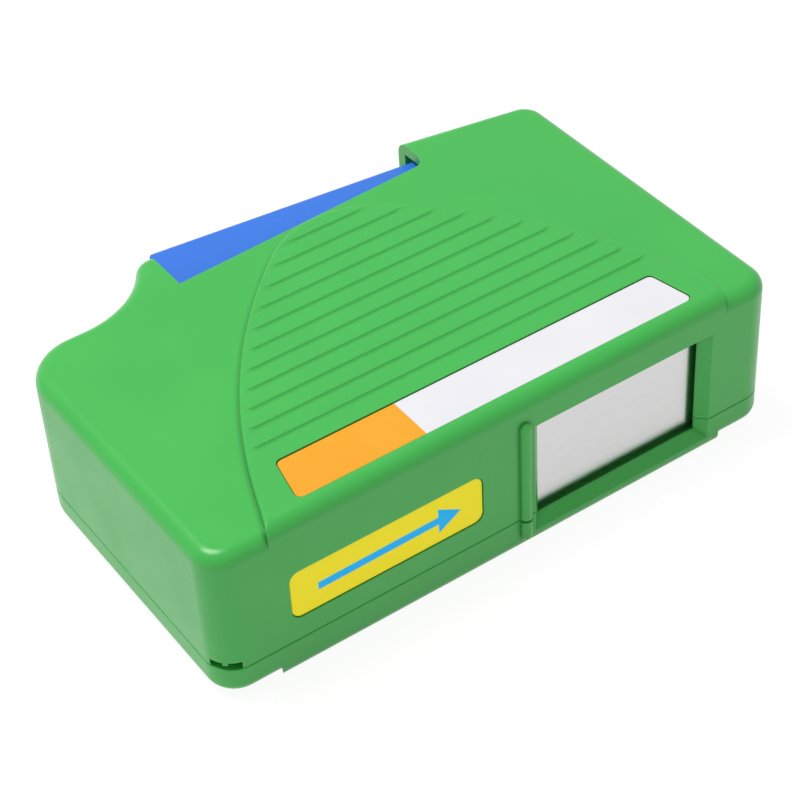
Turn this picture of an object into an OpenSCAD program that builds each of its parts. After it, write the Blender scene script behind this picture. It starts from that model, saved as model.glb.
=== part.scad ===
// Fibre optic cleaning cassette: a green two-piece case with a shuttered window in its front face.
// Pressing the blue lever at the rear slides the shutter aside and winds on the cleaning tape.
// Places in plan are measured from the left face and the front face, heights from the resting face.

/* [Case] */
// Length of the case, left face to right face
case_len = 128; // [110:1:150]
// Height of the case between its plain top and bottom faces
case_h = 34.4; // [30:0.2:44]
// Depth of the case, front face to the rear peak beside the lever opening
peak_depth = 83.2; // [80:0.1:92]
// How far the left rear shoulder lies before the peak
shoulder_back = 13; // [11:0.1:14]
// How far the flat end of the bump beside the lever lies before the peak
bump_back = 1.3; // [1:0.1:2]
// How far the right rear corner lies before the peak
rear_corner_back = 5.9; // [5:0.1:7]
// Distance of the peak from the right face
peak_in = 32; // [31:0.5:38]
// Wall thickness of both shells
wall = 2.4; // [1.8:0.1:3]
// Height of the parting line over the bottom face
split_h = 6.3; // [5:0.1:9]
// Radius of the upright front corners
front_corner_r = 6; // [4:0.5:9]
// Radius of the upright right rear corner
rear_corner_r = 5; // [4:0.5:8]
// Radius of the upright left rear corner
shoulder_r = 11; // [9:0.5:13]
// Radius of the upright corner of the bump
bump_r = 4.2; // [3.6:0.1:5]
// Where the hollow sweep leaves the straight shoulder
scoop_x = 14.5; // [14:0.1:16]
// Slope at which the hollow sweep meets the bump, in degrees
scoop_turn = 57; // [52:1:62]
// Radius of the rounded top edge
edge_r = 3; // [2:0.1:3]
// Radius of the rounded bottom edge
foot_r = 2.5; // [1.5:0.1:3]
// Radius of both shells' edges where they meet
seam_r = 0.25; // [0.1:0.05:0.5]
// Gap left between both shells' walls, while their posts bear on each other
seam_gap = 0.15; // [0.05:0.05:0.3]
// Height of the lip that centres the two shells
lip_h = 1.2; // [0.8:0.1:2]

/* [Raised panels] */
// Height of the raised panel on the top and on the bottom
panel_step = 1.5; // [1:0.1:2]
// How far the back of the raised panel lies before the peak
panel_back = 13.1; // [12:0.1:17]
// Radius of the top panel's own edge
panel_edge_r = 0.8; // [0.4:0.1:1.2]
// Radius of the bottom panel's own edge
foot_edge_r = 1.3; // [0.4:0.1:1.4]
// Number of grooves across the top panel
groove_count = 11; // [5:1:12]
// Distance between grooves
groove_pitch = 4.68; // [4:0.02:4.8]
// Distance of the first groove from the front face
groove_start = 18.9; // [17:0.1:20]
// Width of a groove
groove_w = 1.4; // [0.8:0.1:1.6]
// Depth of a groove
groove_d = 0.35; // [0.2:0.05:0.6]
// Distance of the groove ends from the panel's edge
groove_end = 0.8; // [0.4:0.1:2]
// Length over which a groove's end rises to the panel's face
groove_run = 2; // [1:0.1:2.4]

/* [Window and rib] */
// Distance of the window from the right face
window_in = 15.5; // [14:0.1:17]
// Width of the window at the front face
window_w = 42.8; // [36:0.1:44]
// Height of the window's lower edge over the bottom panel
window_z = 3.1; // [3:0.1:4]
// Height of the window at the front face
window_h = 26.6; // [22:0.1:28]
// Depth of the sloped reveal round the window
reveal = 2; // [1:0.1:2.3]
// Radius of the upright rib beside the window
rib_r = 1.35; // [1:0.05:1.6]
// Distance of the rib from the window
rib_gap = 1; // [0.6:0.1:2]
// Height of the rib
rib_h = 29.5; // [26:0.1:30]
// Width of the pry slot in the front left corner
pry_w = 6; // [4:0.2:8]
// Height of the pry slot
pry_h = 1.9; // [1.2:0.1:2.2]

/* [Labels] */
// Distance of the arrow label from the left face
arrow_label_x = 15.6; // [14:0.1:18]
// Distance of the arrow label from the rib
arrow_label_gap = 8.5; // [6:0.1:12]
// Height of the arrow label's lower edge
arrow_label_z = 13.4; // [11:0.1:15]
// Height of the arrow label
arrow_label_h = 10.9; // [8:0.1:13]
// Corner radius of the arrow label
arrow_label_r = 2; // [1:0.1:3]
// Distance of the top label's front left corner from the left face
top_label_x = 21; // [19:0.1:24]
// Distance of the top label's front right corner from the right face
top_label_in = 17.8; // [17:0.1:24]
// Distance of the top label from the front face
top_label_y = 3.8; // [3.6:0.1:4.4]
// Depth of the top label, front to back
top_label_d = 10.2; // [8:0.1:11]
// How far each end of the top label leans in
top_label_lean = 2; // [1:0.1:3]
// Length of the orange field on the top label
orange_w = 27.4; // [20:0.1:34]
// Corner radius of the top label
top_label_r = 1.2; // [0.6:0.1:2]
// Depth of the recess that a label lies in
recess_d = 0.5; // [0.4:0.05:0.8]
// Thickness of a label
label_t = 0.3; // [0.2:0.05:0.35]
// Gap round a label in its recess
label_gap = 0.25; // [0.15:0.05:0.4]

/* [Lever] */
// Left wall of the lever opening, from the left face
notch_left = 36.4; // [35:0.1:38]
// Right end of the lever opening, from the right face
notch_in = 30.6; // [30:0.1:31]
// How far the opening's edge at its left end lies before the peak
notch_back_left = 13.4; // [12:0.1:15]
// How far the opening's edge at its right end lies before the peak
notch_back_right = 10.4; // [9:0.1:11]
// Radius of the opening's right end
notch_r = 3; // [2:0.1:4]
// Radius of the left corner of the opening's mouth
notch_mouth_r = 0.8; // [0.5:0.1:2]
// Angle that the lever turns when it is pressed, in degrees
lever_stroke = 10.5; // [8:0.5:10.5]
// Distance of the lever's pivot from the right face
pivot_in = 26; // [25:0.1:27]
// How far the lever's pivot lies before the peak
pivot_back = 9.2; // [9:0.1:9.7]
// Gap between the lever's free end and the left wall of its opening
lever_end_gap = 1; // [0.9:0.1:3]
// How far the lever's free end stands out past the peak
lever_proud = 3.1; // [1:0.1:3.4]
// Depth of the lever's flanges at its free end
lever_flange = 19.6; // [17:0.1:19.7]
// Thickness of the lever's walls and flanges
lever_wall = 2; // [1.6:0.1:2.2]
// Radius of the lever's rounded edges
lever_edge_r = 1.4; // [0.8:0.1:1.5]
// Radius of the lever's pivot boss
lever_boss_r = 4.6; // [4:0.1:4.8]
// How far the lever lies under the plain faces of the case
lever_drop = 3.3; // [3.1:0.1:3.6]

/* [Gear train] */
// Module of the gears, which is their pitch diameter for each tooth
tooth_size = 1; // [0.9:0.02:1.1]
// Pressure angle of the teeth, in degrees
pressure = 25; // [22:1:27]
// Teeth on the full circle of the lever's sector
sector_teeth = 108; // [107:1:109]
// Teeth on the small wheel of the drive gear
pinion_teeth = 12; // [12:1:13]
// Teeth on the large wheel of the drive gear
wheel_teeth = 50; // [48:1:50]
// Teeth on the clutch gear
clutch_teeth = 30; // [28:1:31]
// Play between the flanks of meshing teeth
flank_gap = 0.3; // [0.2:0.05:0.4]
// Thickness of each gear wheel
gear_t = 2; // [1.6:0.1:2.2]
// Radius of the drive gear's shaft and of the lever's pin
pin_r = 1.5; // [1:0.1:1.8]

/* [Shutter] */
// Thickness of the steel shutter plate
shutter_t = 0.5; // [0.4:0.05:0.7]
// How far the shutter plate laps over the window's inner edge
shutter_lap = 1.2; // [0.8:0.1:1.4]
// Gap between the front wall and the shutter plate
shutter_gap = 1; // [0.5:0.05:1.1]
// Thickness of the slider's bar, without its teeth
slider_t = 1.4; // [1.2:0.1:1.6]

/* [Reels and tape] */
// Room kept before the supply reel, for the tape and a screw post
supply_front_gap = 12.1; // [11:0.1:13]
// Room kept behind the supply reel, for a screw post
supply_rear_gap = 10.3; // [9.5:0.1:12]
// Gap between the supply reel and the left wall
supply_side_gap = 2.6; // [1.5:0.1:3]
// Room kept before the take-up reel, for the pad and its frame
take_up_front_gap = 15.6; // [15:0.1:17]
// Gap between the take-up reel and the seat of the lever spring
take_up_rear_gap = 3.48; // [2:0.02:5]
// How far the supply reel's flanges stand out past the fresh tape
fresh_rim = 4.5; // [3.5:0.1:7]
// Thickness of the used tape on its reel
used_wrap_t = 3; // [1:0.1:5]
// Radius of each reel's core
core_r = 8; // [7.5:0.1:8.5]
// Thickness of a reel's flanges
flange_t = 1.2; // [1:0.1:1.3]
// Width of the cleaning tape
tape_w = 18; // [16:0.1:18.2]
// Thickness of the cleaning tape
tape_t = 0.25; // [0.15:0.05:0.3]
// Radius of the reels' shafts
shaft_r = 2; // [1.5:0.1:2.2]
// Radius of the guide rollers
roller_r = 3; // [2.5:0.1:3]
// Distance of the guide rollers' pins from the front face
roller_y = 10.5; // [10.5:0.1:11]
// Radius of the guide rollers' pins
roller_pin_r = 1; // [0.8:0.1:1.2]
// Thickness of the foam pad behind the tape
pad_t = 3; // [2:0.1:3.2]

/* [Fasteners] */
// Radius of a case screw's shank
screw_r = 1.2; // [1:0.1:1.4]
// Radius of a case screw's head
screw_head_r = 2.4; // [2:0.1:2.5]
// Height of a case screw's head
screw_head_h = 1.4; // [1:0.1:1.5]
// Length of a case screw's shank
screw_len = 12; // [10:0.5:16]
// Radius of the screw posts
post_r = 3.2; // [3.1:0.1:3.4]

/* [Hidden] */
$fn = 64;

// Overrun of every cut past the face that it opens
over = 1;
// Clearance between parts that lie or slide beside each other
clear = 0.3;
// Radial clearance of a part that turns on a pin
turn_clear = 0.05;
// Shortest length that still counts as a length
tiny = 0.001;
// How far the chords of a short-sided curve may leave the true curve
chord_rise = 0.012;

// Places that follow from the distances above
shoulder_depth = peak_depth - shoulder_back;
bump_depth = peak_depth - bump_back;
rear_corner_depth = peak_depth - rear_corner_back;
peak_x = case_len - peak_in;
panel_reach = peak_depth - panel_back;
window_x = case_len - window_in - window_w;
arrow_label_w = window_x - rib_gap - 2 * rib_r - arrow_label_gap - arrow_label_x;
top_label_w = case_len - top_label_in - top_label_x;
notch_right = case_len - notch_in;
notch_depth_left = peak_depth - notch_back_left;
notch_depth_right = peak_depth - notch_back_right;
pivot_x = case_len - pivot_in;
pivot_y = peak_depth - pivot_back;
lever_tip_x = notch_left + lever_end_gap;
lever_tip_y = peak_depth + lever_proud;

// Heights
total_h = case_h + 2 * panel_step;
top_z = case_h + panel_step;
split_z = panel_step + split_h;
floor_z = panel_step + wall;
ceiling_z = top_z - wall;

// Plan of the case: corners with their radii, anticlockwise from the front right. The rear peak is
// left sharp, because it lies inside the lever opening. The hollow sweep takes what height the
// corner of the bump and a short flat leave it
scoop_flat = 0.5;
scoop_r = (bump_depth - shoulder_depth - scoop_flat * sin(scoop_turn)) / (1 - cos(scoop_turn)) - bump_r;
scoop_end_x = scoop_x + scoop_r * tan(scoop_turn / 2);
bump_x = scoop_end_x + (bump_depth - shoulder_depth) / tan(scoop_turn);
case_path = [
    [case_len, 0],
    [case_len, rear_corner_depth],
    [peak_x, peak_depth],
    [bump_x, bump_depth],
    [scoop_end_x, shoulder_depth],
    [0, shoulder_depth],
    [0, 0],
];
case_radii = [front_corner_r, rear_corner_r, 0, bump_r, scoop_r, shoulder_r, front_corner_r];

// Plan of the raised panels: corners as shares of the case's length and the panel's reach,
// anticlockwise from the one behind the front face's right end. The last two lie before the
// front face, where the panel is cut off. The other two tables say how much of the side after
// and before each corner its arc takes
panel_corner_shares = [
    [0.9167, 0.0625], [0.8266, 0.6385], [0.5308, 1.088], [0.2212, 0.6086], [0.072, -0.114], [0.872, -0.114]
];
panel_after_shares = [0.116, 0.637, 0.332, 0.63, 0, 0];
panel_before_shares = [0.356, 0.748, 0.35, 0.656, 0, 0];
panel_path = [for (s = panel_corner_shares) [s[0] * case_len, s[1] * panel_reach]];
panel_radii = [for (i = [0 : len(panel_path) - 1]) tan(corner_angle(panel_path, i) / 2) * min(
    panel_after_shares[i] * norm(panel_path[(i + 1) % len(panel_path)] - panel_path[i]),
    panel_before_shares[i] * norm(panel_path[i] - panel_path[(i + len(panel_path) - 1) % len(panel_path)])
)];

// Plan of the top label, anticlockwise from the front left
top_label_path = [
    [top_label_x, top_label_y],
    [top_label_x + top_label_w, top_label_y],
    [top_label_x + top_label_w - top_label_lean, top_label_y + top_label_d],
    [top_label_x + top_label_lean, top_label_y + top_label_d],
];
top_label_radii = [for (p = top_label_path) top_label_r];

// Lever
lever_z = panel_step + lever_drop;
lever_h = case_h - 2 * lever_drop;
lever_heel = pin_r;
lever_path = [
    [lever_tip_x, lever_tip_y - lever_flange],
    [pivot_x + lever_heel, pivot_y - lever_boss_r],
    [pivot_x + lever_heel, pivot_y + lever_boss_r],
    [lever_tip_x, lever_tip_y],
];
lever_radii = [2 * lever_edge_r, lever_boss_r - tiny, lever_boss_r - tiny, 2 * lever_edge_r];
hollow_end_x = pivot_x - lever_boss_r - 2 * lever_wall;
function lever_back_y(x) = lever_tip_y
    - (x - lever_tip_x) * (lever_tip_y - pivot_y - lever_boss_r) / (pivot_x + lever_heel - lever_tip_x);

// Gear train
tooth_pitch = PI * tooth_size;
addendum = 0.8 * tooth_size;
dedendum = 1.1 * tooth_size;
flank_steps = 2;
function pitch_r(teeth) = teeth * tooth_size / 2;
gear_z = floor_z + clear;
sector_z = gear_z + gear_t + clear;
front_inner_y = wall;
plate_y = front_inner_y + shutter_gap;
rack_pitch_y = plate_y + shutter_t + slider_t + dedendum;
gear_y = rack_pitch_y + pitch_r(wheel_teeth);
gear_reach = pitch_r(sector_teeth) + pitch_r(pinion_teeth);
gear_x = pivot_x - sqrt(pow(gear_reach, 2) - pow(pivot_y - gear_y, 2));
spring_post_y = pivot_y - 2.2 * lever_boss_r;
take_up_flange_r = (spring_post_y - 2 * wall - take_up_rear_gap - take_up_front_gap) / 2;
take_up_y = wall + take_up_front_gap + take_up_flange_r;
take_up_reach = pitch_r(wheel_teeth) + pitch_r(clutch_teeth);
take_up_x = gear_x + sqrt(pow(take_up_reach, 2) - pow(take_up_y - gear_y, 2));
sector_angle = atan2(gear_y - pivot_y, gear_x - pivot_x);
clutch_angle = atan2(take_up_y - gear_y, take_up_x - gear_x);
wheel_step = 360 / wheel_teeth;
// The wheel has a tooth straight towards the rack at rest; this is how far the tooth
// nearest the clutch gear stands past the line between their shafts
clutch_tooth_offset = ceil((clutch_angle + 90) / wheel_step) * wheel_step - clutch_angle - 90;
sector_lead = 3.4;
lever_turn_ratio = sector_teeth / pinion_teeth;
shutter_travel = lever_stroke * PI / 180 * lever_turn_ratio * pitch_r(wheel_teeth);

// Shutter
opening_x = window_x + reveal;
opening_w = window_w - 2 * reveal;
plate_x = opening_x - shutter_lap;
plate_w = opening_w + 2 * shutter_lap;
plate_h = ceiling_z - gear_z - 2 * clear - wall;
rack_x = gear_x - 1.5 * tooth_pitch;
rack_count = ceil(shutter_travel / tooth_pitch) + 3;
slider_end_x = max(plate_x + plate_w, gear_x + (rack_count - 1) * tooth_pitch);
rivet_r = gear_t / 4;

// Reels and tape. The supply reel takes the room between the front and the rear, or between the left
// wall and the gear's boss where that is less
supply_flange_r = min(
    shoulder_depth - 2 * wall - supply_front_gap - supply_rear_gap,
    gear_x - 2 * pin_r - clear - wall - supply_side_gap
) / 2;
supply_x = wall + supply_side_gap + supply_flange_r;
supply_y = wall + supply_front_gap + supply_flange_r;
fresh_roll_r = supply_flange_r - fresh_rim;
used_roll_r = core_r + used_wrap_t;
reel_z = sector_z + gear_t + clear + 0.5 * clear;
tape_z = reel_z + flange_t + clear;
reel_h = tape_w + 2 * clear + 2 * flange_t;
reel_top_z = reel_z + reel_h;
clutch_hub_r = shaft_r + wall;
clutch_t = 1.5;
clutch_outer_r = clutch_hub_r + clutch_t;
clutch_h = tape_w / 2;
washer_t = 0.8;
left_roller_x = opening_x - roller_r - 2 * clear - pad_t / 2;
right_roller_x = opening_x + opening_w + roller_r + pad_t / 2 + clear;
tape_front_y = roller_y - roller_r - clear - tape_t;
pad_y = roller_y - roller_r;
frame_back_y = pad_y + pad_t;
frame_t = 1.6;
frame_z = reel_z;
frame_h = reel_h + frame_t;
frame_end = roller_r + clear;
frame_screw_y = frame_back_y + frame_t + screw_head_r / 2;

// Screw posts, the last of them well inside the left rear corner
corner_gap = 3;
screw_places = [
    [front_corner_r + wall, front_corner_r + 1.5 * wall],
    [case_len - wall - post_r - clear, take_up_y - take_up_flange_r + post_r],
    [case_len - wall - post_r - 0.6 * wall, rear_corner_depth - 3.5 * post_r],
    [wall + post_r + corner_gap, shoulder_depth - wall - post_r - corner_gap],
];
counterbore_d = screw_head_h + 2 * clear;
pilot_z = panel_step + counterbore_d;

// Lever spring, between a post of the case and the lever's back
spring_x = pivot_x - 3.2 * lever_boss_r;
spring_z = lever_z + lever_h / 2;
spring_wire_r = 0.35;
spring_r = 2.4;
spring_turns = 7;
spring_y0 = spring_post_y + spring_wire_r + clear / 2;
spring_y1 = lever_back_y(spring_x) - lever_wall - spring_wire_r - clear;
spring_sides = 8;
spring_steps = 14;

// Rounded outlines
function unit(v) = v / norm(v);
function before(path, i) = unit(path[(i + len(path) - 1) % len(path)] - path[i]);
function after(path, i) = unit(path[(i + 1) % len(path)] - path[i]);
function corner_angle(path, i) = acos(before(path, i) * after(path, i));
function outward_corner(path, i) = cross(-before(path, i), after(path, i)) > 0;
function tangent(path, radii, i, side) = path[i] + side * radii[i] / tan(corner_angle(path, i) / 2);
function centre(path, radii, i) = path[i]
    + unit(before(path, i) + after(path, i)) * radii[i] / sin(corner_angle(path, i) / 2);
function inset_r(path, radii, i, inset) = outward_corner(path, i) ? radii[i] - inset : radii[i] + inset;
function shifted(path, radii, i, inset, side) = let (
    c = centre(path, radii, i),
    t = tangent(path, radii, i, side)
) c + (t - c) * inset_r(path, radii, i, inset) / radii[i];
function inset_corner(path, i, inset) = path[i]
    + unit(before(path, i) + after(path, i)) * inset / sin(corner_angle(path, i) / 2);
function round_left(path, radii, i, inset) = radii[i] > 0 && inset_r(path, radii, i, inset) > tiny;
function turned(v) = atan2(v[1], v[0]);
function polar(r, a) = [r * cos(a), r * sin(a)];
function turn(path, i) = (outward_corner(path, i) ? 1 : -1) * (180 - corner_angle(path, i));

function arc_steps(r, angle) = ceil(abs(angle) / 2 / acos(1 - chord_rise / r));

// Points along a rounded corner, as many at every inset
function corner_points(path, radii, i, inset) = round_left(path, radii, i, inset)
    ? let (
        c = centre(path, radii, i),
        from = turned(tangent(path, radii, i, before(path, i)) - c),
        steps = arc_steps(radii[i], turn(path, i))
    ) [for (k = [0 : steps]) c + polar(inset_r(path, radii, i, inset), from + turn(path, i) * k / steps)]
    : [inset_corner(path, i, inset)];
function outline_points(path, radii, inset) = [
    for (i = [0 : len(path) - 1]) each corner_points(path, radii, i, inset)
];

// The flat outline of a path with rounded corners, drawn in by an inset all round
module outline(path, radii, inset = 0) {
    last = len(path) - 1;
    difference() {
        union() {
            polygon([
                for (i = [0 : last]) each
                    round_left(path, radii, i, inset)
                        ? [
                            shifted(path, radii, i, inset, before(path, i)),
                            shifted(path, radii, i, inset, after(path, i))
                        ]
                        : [inset_corner(path, i, inset)]
            ]);
            for (i = [0 : last])
                if (outward_corner(path, i) && round_left(path, radii, i, inset))
                    translate(centre(path, radii, i)) circle(inset_r(path, radii, i, inset));
        }
        for (i = [0 : last])
            if (!outward_corner(path, i) && round_left(path, radii, i, inset))
                translate(centre(path, radii, i)) circle(inset_r(path, radii, i, inset));
    }
}

// The same outline drawn with short sides
module short_sided(path, radii, inset) {
    polygon(outline_points(path, radii, inset));
}

// Closed skin over rings of as many points each, which run anticlockwise as seen from the last
// ring. Both end faces fan out from their first point
module skinned(rings) {
    count = len(rings[0]);
    last = len(rings) - 1;
    polyhedron(
        points = [for (ring = rings) each ring],
        faces = concat(
            [[for (s = [0 : count - 1]) s]],
            [for (k = [0 : last - 1], s = [0 : count - 1]) let (
                next = (s + 1) % count,
                low = k * count,
                high = low + count
            ) each [[low + s, high + s, high + next], [low + s, high + next, low + next]]],
            [[last * count, for (s = [count - 1 : -1 : 1]) last * count + s]]
        )
    );
}

// Body that follows a rounded outline through levels, each a height and an inset
module lofted(path, radii, levels) {
    skinned([for (level = levels) [
        for (p = outline_points(path, radii, level[1])) [p[0], p[1], level[0]]
    ]]);
}

// Levels along the rounded upper edge of a body of this height, and along a rounded foot
function top_levels(height, r) = r > 0
    ? [for (k = [0 : arc_steps(r, 90)]) let (a = 90 * k / arc_steps(r, 90)) [height - r + r * sin(a), r - r * cos(a)]]
    : [[height, 0]];
function foot_levels(r) = let (levels = top_levels(0, r)) [
    for (k = [len(levels) - 1 : -1 : 0]) [-levels[k][0], levels[k][1]]
];

// What a rounded edge of this radius takes off a square corner at the origin
module edge_waste(r) {
    if (r > 0) difference() {
        translate([-r, -r]) square(r + over);
        translate([-r, -r]) circle(r);
    }
}

// Gear teeth
function involute(base, r) = r <= base ? 0 : let (a = acos(base / r)) tan(a) * 180 / PI - a;
function half_tooth(teeth, r) = let (base = pitch_r(teeth) * cos(pressure))
    90 / teeth - flank_gap / 2 / pitch_r(teeth) * 180 / PI
    + involute(base, pitch_r(teeth)) - involute(base, r);
function tooth_radii(teeth) = let (
    base = pitch_r(teeth) * cos(pressure),
    root = pitch_r(teeth) - dedendum,
    start = max(base, root),
    tip = pitch_r(teeth) + addendum
) concat(base > root ? [root] : [], [for (k = [0 : flank_steps]) start + (tip - start) * k / flank_steps]);
function tooth(teeth, angle) = let (rs = tooth_radii(teeth)) concat(
    [for (r = rs) polar(r, angle - half_tooth(teeth, r))],
    [for (k = [len(rs) - 1 : -1 : 0]) polar(rs[k], angle + half_tooth(teeth, rs[k]))]
);

// Flat outline of a gear with one tooth pointing along the start angle
module gear_outline(teeth, start) {
    polygon([for (k = [0 : teeth - 1]) each tooth(teeth, start + k * 360 / teeth)]);
}

// A wedge between two angles, wide enough for any radius up to the one given
module wedge(r, from, to) {
    polygon([[0, 0], polar(2 * r, from), polar(2 * r, to)]);
}

// Moves from the plan's corner to the part's own origin, under the middle of the case
module placed() {
    translate([-case_len / 2, -peak_depth / 2, 0]) children();
}

module column(x, y, z, r, h) {
    translate([x, y, z]) cylinder(r = r, h = h);
}

module block(x, y, z, size) {
    translate([x, y, z]) cube(size);
}

// Plain body of the case, or of one shell
module case_body(height, top_r, bottom_r) {
    lofted(case_path, case_radii, concat(foot_levels(bottom_r), top_levels(height, top_r)));
}

// Raised panel of the given height, with its top edge rounded
module panel_body(height, r) {
    lofted(panel_path, panel_radii, concat(foot_levels(0), top_levels(height, r)));
}

// Outer form of the upper shell, from the parting line up
module upper_form() {
    root = edge_r + wall / 2;
    translate([0, 0, split_z + seam_gap]) case_body(case_h - split_h - seam_gap, edge_r, seam_r);
    difference() {
        translate([0, 0, top_z - root]) panel_body(panel_step + root, panel_edge_r);
        front_waste(total_h, edge_r);
    }
    front_rib();
}

// Outer form of the lower shell, up to the parting line
module lower_form() {
    root = foot_r + wall / 2;
    translate([0, 0, panel_step]) case_body(split_h, seam_r, foot_r);
    mirror([0, 0, 1]) difference() {
        translate([0, 0, -panel_step - root]) panel_body(panel_step + root, foot_edge_r);
        front_waste(0, foot_r);
    }
    front_rib();
}

// What lies before the front face, with the waste of its rounded upper edge at the given height
module front_waste(z, r) {
    rotate([90, 0, 90])
        linear_extrude(case_len) {
            translate([-front_corner_r - case_h, z - case_h]) square([front_corner_r + case_h, 2 * case_h]);
            translate([0, z]) mirror([1, 0]) edge_waste(r);
        }
}

// Space inside the case
module case_cavity() {
    translate([0, 0, floor_z])
        linear_extrude(ceiling_z - floor_z)
        short_sided(case_path, case_radii, wall);
}

// Plan of the lever opening, with its rounded right end and the rounded left corner of its mouth
module notch_plan() {
    short_sided([
        [notch_left, notch_depth_left],
        [notch_right, notch_depth_right],
        [notch_right, peak_depth + over],
        [notch_left, peak_depth + over],
    ], [0, notch_r, 0, 0], 0);
    rear_y = bump_depth + (notch_left - bump_x) * (peak_depth - bump_depth) / (peak_x - bump_x);
    steps = arc_steps(notch_mouth_r, 90);
    polygon(concat(
        [for (k = [0 : steps]) [notch_left - notch_mouth_r, rear_y - notch_mouth_r]
            + polar(notch_mouth_r, 90 * k / steps)],
        [
            [notch_left - notch_mouth_r, rear_y + over],
            [notch_left + over, rear_y + over],
            [notch_left + over, rear_y - notch_mouth_r],
        ]
    ));
}

// The window narrows inwards by the reveal on every side
module window_cut() {
    intersection() {
        translate([0, 0, -over])
            linear_extrude(total_h + 2 * over)
            polygon([
                [window_x - over, -over],
                [window_x + window_w + over, -over],
                [window_x + window_w - reveal, reveal],
                [window_x + window_w - reveal, wall + over],
                [window_x + reveal, wall + over],
                [window_x + reveal, reveal],
            ]);
        translate([case_len, 0, 0])
            rotate([90, 0, -90])
            mirror([1, 0, 0])
            linear_extrude(case_len)
            polygon([
                [-over, window_z - over],
                [reveal, window_z + reveal],
                [wall + over, window_z + reveal],
                [wall + over, window_z + window_h - reveal],
                [reveal, window_z + window_h - reveal],
                [-over, window_z + window_h + over],
            ]);
    }
}

// Half-round rib on the front face, from the foot's rounding to the top edge
module front_rib() {
    x = window_x - rib_gap - rib_r;
    z = foot_r + rib_r;
    column(x, 0, z, rib_r, rib_h - 2 * rib_r);
    translate([x, 0, z]) sphere(rib_r);
    translate([x, 0, z + rib_h - 2 * rib_r]) sphere(rib_r);
}

// What one shell leaves of the rib to the other: all above the parting line where side is 1, or
// below it where side is -1. Before the front face it goes further past the line
module rib_waste(side) {
    z = side > 0 ? split_z : split_z + seam_gap - total_h;
    for (cut = [[4 * rib_r, 0], [2 * rib_r, seam_r]])
        block(window_x - 2 * front_corner_r, -2 * rib_r, z - side * cut[1],
            [front_corner_r + window_w, cut[0], total_h]);
}

// What both shells leave open
module case_hollows() {
    case_cavity();
    window_cut();
    translate([0, 0, -over]) linear_extrude(total_h + 2 * over) notch_plan();
}

// Lip that stands up from the lower shell inside the upper one, and stops beside the window
module lip(gap) {
    translate([0, 0, split_z])
        linear_extrude(lip_h + gap)
        difference() {
            short_sided(case_path, case_radii, wall / 2 - gap / 2 + clear / 2);
            short_sided(case_path, case_radii, wall + gap / 2);
            translate([window_x - wall + gap, -over]) square([window_w + 2 * wall - 2 * gap, 2 * wall + over]);
        }
}

// Wall that closes the bump's pocket beside the lever
module bump_wall(z, h) {
    block(notch_left - wall, notch_depth_left - wall, z, [wall, bump_depth - notch_depth_left + wall / 2, h]);
}

module upper_shell() {
    color("limegreen") placed() difference() {
        union() {
            difference() {
                upper_form();
                case_hollows();
                pry_slot();
                rib_waste(-1);
            }
            upper_posts();
        }
        lip(clear);
        grooves();
        top_recess();
        arrow_recess();
        upper_holes();
    }
}

// Posts, bosses and ribs inside the upper shell; they all hang from its ceiling
module upper_posts() {
    rooted = wall / 2;
    top = ceiling_z + rooted;
    for (p = screw_places) column(p[0], p[1], split_z, post_r, top - split_z);
    column(supply_x, supply_y, reel_top_z + washer_t + clear, 2 * shaft_r, top - reel_top_z - washer_t - clear);
    column(take_up_x, take_up_y, reel_top_z + clear, 2 * shaft_r, top - reel_top_z - clear);
    column(gear_x, gear_y, reel_z, 2 * pin_r, top - reel_z);
    column(pivot_x, pivot_y, lever_z + lever_h + clear, 2 * pin_r, top - lever_z - lever_h - clear);
    stop = polar(pitch_r(sector_teeth) - 3 * tooth_size - pin_r, sector_angle - sector_lead
        - lever_stroke - asin((pin_r + clear) / (pitch_r(sector_teeth) - 3 * tooth_size - pin_r)));
    column(pivot_x + stop[0], pivot_y + stop[1], sector_z, pin_r, top - sector_z);
    // Seat of the lever spring, with the peg that centres the spring
    block(spring_x - lever_boss_r, spring_post_y - wall, spring_z - lever_boss_r,
        [2 * lever_boss_r, wall, top - spring_z + lever_boss_r]);
    translate([spring_x, spring_post_y - wall / 2, spring_z])
        rotate([-90, 0, 0])
        cylinder(r = spring_r - 2 * spring_wire_r - clear, h = wall);
    // Rib behind the top of the shutter plate
    block(wall, plate_y + shutter_t + clear, gear_z + plate_h - wall,
        [case_len - 2 * wall, wall / 2, top - gear_z - plate_h + wall]);
    // Seats of the platen frame
    for (x = frame_screw_xs())
        column(x, frame_screw_y, frame_z + frame_h, screw_head_r, top - frame_z - frame_h);
    bump_wall(split_z, top - split_z);
}

function frame_screw_xs() = [opening_x + opening_w / 4, opening_x + 3 * opening_w / 4];

module upper_holes() {
    for (p = screw_places) column(p[0], p[1], split_z - over, screw_r, pilot_z + screw_len + clear - split_z + over);
    column(supply_x, supply_y, reel_top_z, shaft_r, ceiling_z + wall / 2 - reel_top_z);
    column(take_up_x, take_up_y, reel_top_z, shaft_r, ceiling_z + wall / 2 - reel_top_z);
    column(gear_x, gear_y, reel_z - over, pin_r, reel_h / 2 + over);
    column(pivot_x, pivot_y, lever_z + lever_h, pin_r, ceiling_z + wall / 2 - lever_z - lever_h);
    for (x = frame_screw_xs())
        column(x, frame_screw_y, frame_z + frame_h - over, screw_r / 2, over + ceiling_z - frame_z - frame_h);
}

// Slot in the front left corner that takes a blade to part the shells, with a small tooth in it
module pry_slot() {
    tooth_w = pry_w / 6;
    translate([front_corner_r, front_corner_r, split_z - over])
        rotate([0, 0, -135])
        difference() {
            block(front_corner_r - 2 * wall, -pry_w / 2, 0, [3 * wall, pry_w, pry_h + over]);
            block(front_corner_r - 3 * wall, -tooth_w / 2, over + 2 * pry_h / 3, [5 * wall, tooth_w, pry_h]);
        }
}

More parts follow.
